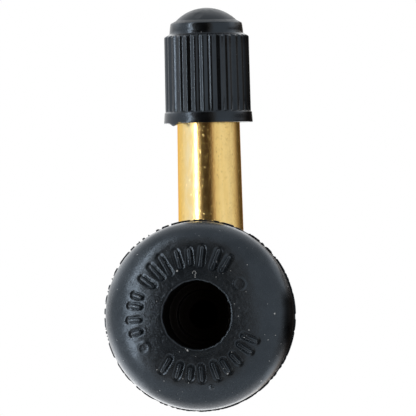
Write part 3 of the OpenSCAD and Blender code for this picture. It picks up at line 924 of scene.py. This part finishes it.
def build_stem():
    theta = np.linspace(0, TURN, STEM_SEGMENTS, endpoint=False)
    cos, sin = np.cos(theta), np.sin(theta)
    rings = []

    def leg_ring(y, r):
        rings.append(np.stack([r * cos, np.full_like(theta, y), r * sin], axis=1))

    def bend_ring(phi, r):
        centre = np.array([0.0, BEND_Y + BEND_R * math.sin(phi), BEND_R * (1 - math.cos(phi))])
        side = np.array([1.0, 0.0, 0.0])
        up = np.array([0.0, -math.sin(phi), math.cos(phi)])
        rings.append(centre + r * (cos[:, None] * side + sin[:, None] * up))

    def up_ring(z, r):
        r = np.broadcast_to(r, theta.shape)
        rings.append(np.stack([r * cos, STEM_Y - r * sin, np.full_like(theta, z)], axis=1))

    # outside, from the end of the leg to the mouth
    anchor_end = ANCHOR_Y + ANCHOR_T
    for y, r in (
        (ANCHOR_Y, PASSAGE_R + PASSAGE_EDGE),
        (ANCHOR_Y, ANCHOR_R - ANCHOR_EDGE),
        (ANCHOR_Y + ANCHOR_EDGE, ANCHOR_R),
        (anchor_end - ANCHOR_EDGE, ANCHOR_R),
        (anchor_end, ANCHOR_R - ANCHOR_EDGE),
        (anchor_end, STEM_R),
    ):
        leg_ring(y, r)
    for y in np.linspace(anchor_end, BEND_Y, 6)[1:]:
        leg_ring(y, STEM_R)
    for phi in np.linspace(0, math.pi / 2, 33)[1:]:
        bend_ring(phi, STEM_R)
    run_in = THREAD_Z - RUN_IN
    for z in np.linspace(BEND_R, run_in, 40)[1:]:
        up_ring(z, STEM_R + (STEM_TOP_R - STEM_R) * (z - BEND_R) / (THREAD_Z - BEND_R))
    for z in np.linspace(run_in, PILOT_Z, 118)[1:]:
        grow = smoothstep(run_in, THREAD_Z + THREAD_GROWTH, z)
        fade = smoothstep(PILOT_Z, PILOT_Z - THREAD_FADE, z)
        crest = THREAD_R - THREAD_DEPTH * thread_wave(-theta, z)
        r = STEM_TOP_R * (1 - grow) + crest * grow
        up_ring(z, np.minimum(r, PILOT_R + (THREAD_R - PILOT_R) * fade))
    rim = PILOT_R - CHAMFER
    # the mouth and the core's thread and seat
    for z, r in (
        (PILOT_Z + 0.1, PILOT_R),
        (STEM_H - CHAMFER, PILOT_R),
        (STEM_H - 0.04, rim + 0.04),
        (STEM_H, rim - 0.02),
        (STEM_H, MOUTH_R + 0.04),
        (STEM_H - 0.05, MOUTH_R),
        (STEM_H - MOUTH_DEPTH, MOUTH_R),
        (STEM_H - MOUTH_DEPTH - (MOUTH_R - CORE_R), CORE_R),
        (SEAT_Z, CORE_R),
        (CHAMBER_TOP_Z, CHAMBER_R),
    ):
        up_ring(z, r)
    # the air passage, painted dark as painted shade, back to the end of the leg
    passage = len(rings) - 1
    up_ring(CHAMBER_Z, CHAMBER_R)
    up_ring(CHAMBER_Z - CHAMBER_CONE, PASSAGE_R)
    up_ring(BEND_R, PASSAGE_R)
    for phi in np.linspace(math.pi / 2, 0, 17)[1:]:
        bend_ring(phi, PASSAGE_R)
    leg_ring(ANCHOR_Y + PASSAGE_EDGE, PASSAGE_R)
    piece = ring_mesh("stem_brass", rings, sharp=40)
    dress(piece, BRASS, BORE_SHADE)
    for face in piece.data.polygons[passage * STEM_SEGMENTS:]:
        face.material_index = 1
    return piece


add_piece(build_stem(), "valve", "stem", "stem")


# Dust cap
CAP_SEGMENTS = RIB_COUNT * 14
CAP_DOME_ROWS = 44
# Shallow mark of the mould on the front of the dome: x and y from the cap's axis, radius and depth
GATE_PLACE = (-0.65, -2.85)
GATE_R = 0.65
GATE_DEPTH = 0.05
# Thread of the cap: heights from none to full at its lower end, and depth
CAP_THREAD_Z = (0.75, 1.3)
CAP_THREAD_DEPTH = 0.30
# Lower edge: raggedness, and size, direction and width in degrees of its burr and its notch
CAP_RAG = 0.03
BURR_HEIGHT = 0.34
BURR_ANGLE = -137
BURR_WIDTH = 7.0
NOTCH_DEPTH = 0.14
NOTCH_ANGLE = -126
NOTCH_WIDTH = 3.5
# What the ribs lose for each millimetre of height
RIB_TAPER = 0.006


def groove_shape(theta):
    """1 in the middle of a grip groove and 0 on the crest of a rib."""
    return 0.5 + 0.5 * np.cos((theta - math.radians(GROOVE_TURN)) * RIB_COUNT)


def build_cap():
    theta = np.linspace(0, TURN, CAP_SEGMENTS, endpoint=False)
    cos, sin = np.cos(theta), np.sin(theta)
    groove = groove_shape(theta)
    rings = []

    def ring(z, r, lift=0.0):
        r = np.broadcast_to(r, theta.shape)
        height = CAP_Z + np.broadcast_to(z + lift, theta.shape)
        rings.append(np.stack([r * cos, STEM_Y + r * sin, height], axis=1))

    # inside, from the crown's middle down to the mouth
    for z, r in (
        (POCKET_TOP_Z, 0.1),
        (POCKET_TOP_Z, POCKET_R - 0.1),
        (POCKET_TOP_Z - 0.1, POCKET_R),
        (POCKET_Z, POCKET_R),
    ):
        ring(z, r)
    for z in np.linspace(POCKET_Z - 0.02, CAP_THREAD_Z[0], 86):
        grow = smoothstep(POCKET_Z - 0.05, POCKET_Z - 0.5, z) * smoothstep(*CAP_THREAD_Z, z)
        ring(z, CAP_BORE_R - CAP_THREAD_DEPTH * grow * thread_wave(theta, CAP_Z + z))
    # the lower edge is a little ragged, with a notch and a burr at the front left
    rag = CAP_RAG * noise_at(circle_points(theta, 5.0), 1.1, 31)
    burr = BURR_HEIGHT * hump(theta, BURR_ANGLE, BURR_WIDTH)
    burr = burr - NOTCH_DEPTH * hump(theta, NOTCH_ANGLE, NOTCH_WIDTH)
    for z, r, lift in (
        (0.60, CAP_BORE_R, 0.0),
        (0.30, CAP_BORE_R + 0.09, 0.0),
        (0.04, CAP_BORE_R + CAP_LEAD - 0.02, 0.0),
        (0.00, CAP_BORE_R + CAP_LEAD + 0.04, -0.3 * burr),
        (0.00, FLANGE_R - 0.30, -0.8 * burr),
        (0.00, FLANGE_R - 0.06, rag - burr),
        (0.03, FLANGE_R - 0.015, rag - 0.7 * burr),
        (0.09, FLANGE_R, 0.5 * rag - 0.3 * burr),
        (0.50, FLANGE_R - 0.03, 0.0),
        (FLANGE_H - 0.14, FLANGE_R - 0.08, 0.0),
        (FLANGE_H - 0.05, FLANGE_R - 0.11, 0.0),
        (FLANGE_H, RIB_R + 0.03, 0.0),
        (FLANGE_H + 0.02, RIB_R + 0.01, 0.0),
    ):
        ring(z, r, lift)
    # ribs, a little wider towards the flange
    for z, share in ((0.04, 0.3), (0.09, 0.75), (0.16, 1.0), (2.2, 1.0), (4.7, 1.0), (7.2, 1.0)):
        ring(FLANGE_H + z, RIB_R - RIB_TAPER * z - GROOVE_DEPTH * share * groove)
    rib_top_r = RIB_R - 0.05
    low = rib_top_r - GROOVE_DEPTH * groove
    for z, r in ((RIB_TOP_Z - 0.08, 0.0), (RIB_TOP_Z - 0.02, 0.015), (RIB_TOP_Z + 0.02, 0.05)):
        ring(z, low - r)
    for s in np.linspace(0.15, 1.0, 5):
        edge = rib_top_r + (CAP_NECK_R + 0.03 - rib_top_r) * s
        ring(RIB_TOP_Z + 0.02 + (CAP_NECK_Z - RIB_TOP_Z - 0.02) * s, np.minimum(edge, low - 0.05))
    # neck, and the worn ledge and dome
    for z, r in (
        (CAP_NECK_Z + 0.05, CAP_NECK_R),
        (CAP_NECK_Z + 0.45, CAP_NECK_R - 0.03),
        (CROWN_Z - 0.08, CAP_NECK_TOP_R),
        (CROWN_Z, CAP_NECK_TOP_R - 0.03),
    ):
        ring(z, r)
    worn = len(rings) - 1
    for z, r in (
        (CROWN_Z + 0.05, CAP_NECK_TOP_R - 0.09),
        (DOME_Z - 0.06, DOME_FOOT_R + 0.12),
        (DOME_Z - 0.02, DOME_FOOT_R + 0.04),
    ):
        ring(z, r)
    rise = CAP_H - DOME_Z
    ball = (DOME_FOOT_R**2 + rise**2) / (2 * rise)
    for a in np.linspace(math.asin(DOME_FOOT_R / ball), 0.02, CAP_DOME_ROWS):
        r = ball * math.sin(a)
        away = np.hypot(r * cos - GATE_PLACE[0], r * sin - GATE_PLACE[1])
        dent = GATE_DEPTH * smoothstep(GATE_R, 0.3 * GATE_R, away)
        ring(CAP_H - ball + ball * math.cos(a), r, -dent)
    piece = capped_mesh("cap_plastic_body", rings, sharp=40)
    dress(piece, PLASTIC, WORN_PLASTIC)
    faces = piece.data.polygons
    for face in [*faces[worn * CAP_SEGMENTS: -2], faces[-1]]:
        face.material_index = 1
    return piece


add_piece(build_cap(), "cap", "cap", "cap")


# Spring of the valve core, in millimetres, the same as the solid
WIRE_D = 0.3
COIL_R = 1.0
OPEN_COILS = 6
COIL_STEPS = 24
END_PITCH = 1.1
END_RISE = END_PITCH * WIRE_D
SPRING_FLOOR_Z = 21.0
COLLAR_Z = 28.1
# How much thinner the wire is here
WIRE_SLACK = 0.005


def build_spring():
    """A coil spring with a closed coil at each end, from the barrel's floor to the pin's collar."""
    coils = OPEN_COILS + 2
    turns = np.linspace(0, coils, coils * COIL_STEPS + 1)
    low = SPRING_FLOOR_Z + WIRE_D / 2
    high = COLLAR_Z - WIRE_D / 2
    ends = (low, low + END_RISE, high - END_RISE, high)
    z = np.interp(turns, (0, 1, coils - 1, coils), ends)
    x = COIL_R * np.cos(TURN * turns)
    y = STEM_Y + COIL_R * np.sin(TURN * turns)
    path = np.stack([x, y, z], axis=1)
    return tube("spring_coils", path, WIRE_D / 2 - WIRE_SLACK, (0.0, 0.0, 1.0), sides=10)


# the pressed pin shortens the spring
spring = build_spring()
dress(spring, STEEL)
add_piece(spring, "valve", "core_spring", "core_spring")
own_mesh(spring)


# Other pieces of the core and the cap's washer keep their solids
for node, material in (
    ("cap_seal", SEAL_RUBBER),
    ("core_plug", CORE_BRASS),
    ("core_barrel", CORE_BRASS),
    ("core_gasket", GASKET),
    ("core_pin", CORE_BRASS),
    ("core_cup", CORE_BRASS),
    ("core_washer", SEAL_RUBBER),
):
    dress(nodes[node], material)


# Stage
FLOOR_Z = -60.0
FLOOR_SIZE = 52.0
# Distances from the origin at which the paper starts to glow and glows in full
GLOW_REACH = (68.0, 82.0)


def build_floor():
    """White paper below the valve, which turns into the white surroundings further out."""
    theta = np.linspace(0, TURN, 96, endpoint=False)
    rim = circle_points(theta, FLOOR_SIZE) + np.array([0.0, STEM_Y / 2, FLOOR_Z])
    floor = add_mesh("floor", rim, [list(range(len(rim)))], sharp=60)
    t = Tree("floor_paper")
    fade = t.span(t.vector("LENGTH", t.coord).outputs["Value"], *GLOW_REACH)
    paper = t.add("ShaderNodeBsdfDiffuse")
    t.put(paper.inputs["Color"], t.mix(t.noise(0.3, 3.0), (0.90, 0.90, 0.90), (0.94, 0.94, 0.94)))
    glow = t.add("ShaderNodeEmission")
    t.put(glow.inputs["Color"], (1.0, 1.0, 1.0))
    t.put(t.out.inputs["Surface"], t.mix_shaders(fade, paper.outputs[0], glow.outputs[0]))
    dress(floor, t.material)


build_floor()


class Studio(Nodes):
    """The world's node tree: white surroundings with a bright strip light and dark cards."""

    def __init__(self):
        self.world = bpy.data.worlds.new("studio")
        self.world.use_nodes = True
        super().__init__(self.world.node_tree)
        x, y, z = self.split(self.add("ShaderNodeTexCoord").outputs["Generated"])
        turn = self.math("ARCTAN2", x, self.times(y, -1.0))
        # from the front towards the right, -180 to 180 degrees, and the same from 0 to 360
        self.azimuth = self.times(turn, math.degrees(1.0))
        self.round_azimuth = self.math("FLOORED_MODULO", self.azimuth, 360.0)
        self.elevation = self.times(self.math("ARCSINE", z), math.degrees(1.0))
        # how far behind the object a direction lies, from -1 to 1
        self.depth = y

    def band(self, value, low, high):
        """1 between two edges, each given as (outer, inner)."""
        return self.times(self.ramp(value, *low), self.ramp(value, *high))

    def patch(self, azimuth, left, right, bottom, top):
        """1 inside a patch of azimuth and elevation."""
        return self.times(self.band(azimuth, left, right), self.band(self.elevation, bottom, top))

    def background(self, colour, strength):
        node = self.add("ShaderNodeBackground")
        self.put(node.inputs["Color"], colour)
        self.put(node.inputs["Strength"], strength)
        return node.outputs[0]


WHITE = (1.0, 1.0, 1.0)
CARD_BROWN = (1.0, 0.55, 0.20)
CARD_LEVEL = 0.025
CARD_TINT = 0.5
STEM_CARD_SHARE = 0.94
STRIP_LEVEL = 13.0
TOP_LEVEL = 0.72
BACK_LEVEL = 1.75
LOW_BACK_LEVEL = 2.4
LEFT_DIP = 0.12
RIGHT_DIP = 0.22
NOTCH_DIP = 0.12
# Patches of the studio: left and right in azimuth, bottom and top in elevation, as (outer, inner) in degrees
STRIP = ((-54.4, -52.4), (-47.7, -49.7), (-33, -15), (62, 46))
GAP = ((-50, -30), (180, 170), (-50, -25), (60, 42))
LOW_CARD = ((68, 90), (176, 164), (-40, -18), (15, 11))
TALL_CARD = ((106, 126), (176, 164), (14, 17), (25, 19))
STEM_CARD = ((91, 136), (176, 164), (-40, -18), (15, 11))
RIGHT_SHADE = ((8, 30), (130, 100), (-70, -40), (70, 40))
LEFT_SHADE = ((-150, -120), (-52, -64), (-10, -4), (19, 12))
# Bands of elevation: heights of the cap and stem, of the stem alone, and of the bright back above it
LEAN_BAND = ((-10, -4), (19, 12))
STEM_BAND = ((-7, -3), (8.5, 5))
BACK_BAND = ((9, 18), (46, 32))
# How far the strip leans to the front in degrees, and what it gains from one elevation to another
LEAN = 7.0
LEAN_GAIN = 3.5
LEAN_GAIN_EDGE = (9.5, 12.5)
# Edges from none to full: the gap in azimuth, the top and the low back in elevation, and both in depth
GAP_EDGE = (31, 8)
TOP_EDGE = (30, 52)
TOP_DEPTH = (0.4, 0.05)
LOW_BACK_EDGE = (-6, -16)
BACK_DEPTH = (-0.15, 0.2)
# A change of level by one part in so many counts as something that stands there
CHANGE_PARTS = 50.0


def build_world():
    """White all round, but for a strip light at the left and dark cards in front and at the right."""
    s = Studio()
    # the strip and the dark gap beside it lie a little nearer to the front at the height of the cap and stem
    reach = s.plus(LEAN, s.times(s.ramp(s.elevation, *LEAN_GAIN_EDGE), LEAN_GAIN))
    lean = s.times(s.band(s.elevation, *LEAN_BAND), reach)
    strip_azimuth = s.minus(s.azimuth, lean)
    strip = s.patch(strip_azimuth, *STRIP)
    gap = s.times(s.patch(strip_azimuth, *GAP), s.ramp(s.azimuth, *GAP_EDGE))
    # the card at the right starts further round at the height of the stem
    notch = s.band(s.elevation, *STEM_BAND)
    low_card = s.most(s.patch(s.round_azimuth, *LOW_CARD), s.patch(s.round_azimuth, *TALL_CARD))
    low_card = s.times(low_card, s.minus(1.0, notch))
    card = s.most(low_card, s.times(s.patch(s.round_azimuth, *STEM_CARD), STEM_CARD_SHARE))
    # it is a little darker at the right, at the left and above in front
    right_dip = s.minus(RIGHT_DIP, s.times(notch, NOTCH_DIP))
    right = s.times(s.patch(s.azimuth, *RIGHT_SHADE), right_dip)
    left = s.times(s.patch(s.azimuth, *LEFT_SHADE), LEFT_DIP)
    top = s.times(s.ramp(s.elevation, *TOP_EDGE), s.ramp(s.depth, *TOP_DEPTH))
    level = s.minus(1.0, s.plus(right, left))
    level = s.minus(level, s.times(top, 1.0 - TOP_LEVEL))
    # it is brighter behind the object, above and below the height of the stem
    above = s.times(s.band(s.elevation, *BACK_BAND), BACK_LEVEL - 1.0)
    below = s.times(s.ramp(s.elevation, *LOW_BACK_EDGE), LOW_BACK_LEVEL - 1.0)
    level = s.plus(level, s.times(s.ramp(s.depth, *BACK_DEPTH), s.plus(above, below)))
    dark = s.most(gap, card)
    level = s.times(level, s.minus(1.0, s.times(dark, 1.0 - CARD_LEVEL)))
    level = s.plus(level, s.times(strip, STRIP_LEVEL))
    change = s.math("ABSOLUTE", s.minus(level, 1.0))
    covered = s.math("MINIMUM", 1.0, s.times(CHANGE_PARTS, change))
    # the gap beside the strip is brown, and the card at the right is half as brown
    tint = s.most(gap, s.times(card, CARD_TINT))
    studio = s.background(s.mix(tint, WHITE, CARD_BROWN), level)
    white = s.background(WHITE, 1.0)
    # the camera sees plain white, and so do mirrored and passing rays where nothing stands
    path = s.add("ShaderNodeLightPath").outputs
    mirrored = s.most(path["Is Glossy Ray"], path["Is Transmission Ray"])
    seen = s.most(path["Is Camera Ray"], s.times(mirrored, s.minus(1.0, covered)))
    out = s.add("ShaderNodeOutputWorld")
    s.put(out.inputs["Surface"], s.mix_shaders(seen, studio, white))
    scene.world = s.world


build_world()


# Camera, on the axis of the foot and a little to its right
CAMERA_AZIMUTH = 5.72
CAMERA_ELEVATION = 0.0
CAMERA_ROLL = 1.37
CAMERA_DISTANCE = 600.0
CAMERA_TARGET = (1.2, 0.0, 12.42)
LENS = 449.0
SENSOR = 36.0
CLIP_START = 0.01
CLIP_END = 10.0


def build_camera():
    azimuth, elevation = math.radians(CAMERA_AZIMUTH), math.radians(CAMERA_ELEVATION)
    level = math.cos(elevation)
    back = Vector((math.sin(azimuth) * level, -math.cos(azimuth) * level, math.sin(elevation)))
    turn = (-back).to_track_quat("-Z", "Y").to_matrix().to_4x4()
    roll = Matrix.Rotation(-math.radians(CAMERA_ROLL), 4, "Z")
    data = bpy.data.cameras.new("camera")
    data.sensor_width = SENSOR
    data.lens = LENS
    data.clip_start = CLIP_START
    data.clip_end = CLIP_END
    camera = bpy.data.objects.new("camera", data)
    scene.collection.objects.link(camera)
    place = (Vector(CAMERA_TARGET) + back * CAMERA_DISTANCE) * MM
    camera.matrix_world = Matrix.Translation(place) @ turn @ roll
    scene.camera = camera


build_camera()
